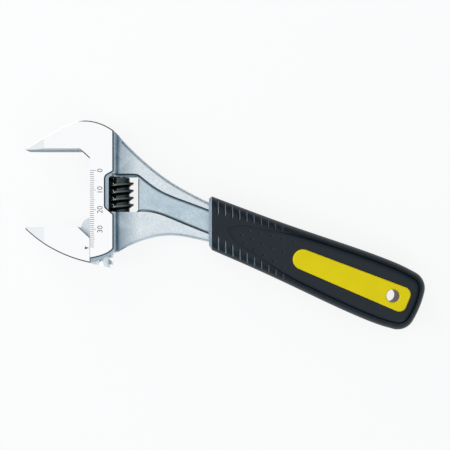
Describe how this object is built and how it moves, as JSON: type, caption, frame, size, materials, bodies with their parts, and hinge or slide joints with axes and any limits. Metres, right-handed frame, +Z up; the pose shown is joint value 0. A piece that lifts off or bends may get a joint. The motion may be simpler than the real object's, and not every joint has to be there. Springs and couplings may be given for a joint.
{
  "type": "adjustable wrench",
  "caption": "Wide-opening adjustable wrench with a worm-driven sliding jaw, a millimetre scale on the head and a soft grip over a hard liner with a hanging hole.",
  "frame": {"origin": "centre of the hanging hole, halfway through the grip", "axes": "+X runs along the handle to the head, +Z is up out of the face that has the scale, along the hanging hole, and +Y is the side of the movable jaw"},
  "size_m": [0.2178, 0.0691, 0.0178],
  "materials": {
    "plated_steel": "satin chrome plate over forged steel, polished on the raised pads and the jaws",
    "black_steel": "black oxide, oiled",
    "bright_steel": "bright turned and drawn steel",
    "yellow_plastic": "semi-gloss moulded",
    "black_elastomer": "matt soft-touch moulded"
  },
  "bodies": {
    "handle": {"body": "plated_steel", "worm_pin": "bright_steel", "worm_spring": "bright_steel", "grip_liner": "yellow_plastic", "grip_cover": "black_elastomer"},
    "jaw": {"movable_jaw": "plated_steel"},
    "worm": {"worm": "black_steel"}
  },
  "joints": [
    {"name": "jaw_slide", "type": "slide", "parent": "handle", "child": "jaw", "axis": [0.3746, -0.9272, 0], "range_m": [0, 0.0395]},
    {"name": "worm_spin", "type": "hinge", "parent": "handle", "child": "worm", "pos_m": [0.14819, 0.00407, 0], "axis": [-0.3746, 0.9272, 0], "range_deg": [0, 3843.3]}
  ],
  "couplings": [
    {"joint": "worm_spin", "follows": "jaw_slide", "rad_per_m": 1698.2}
  ]
}
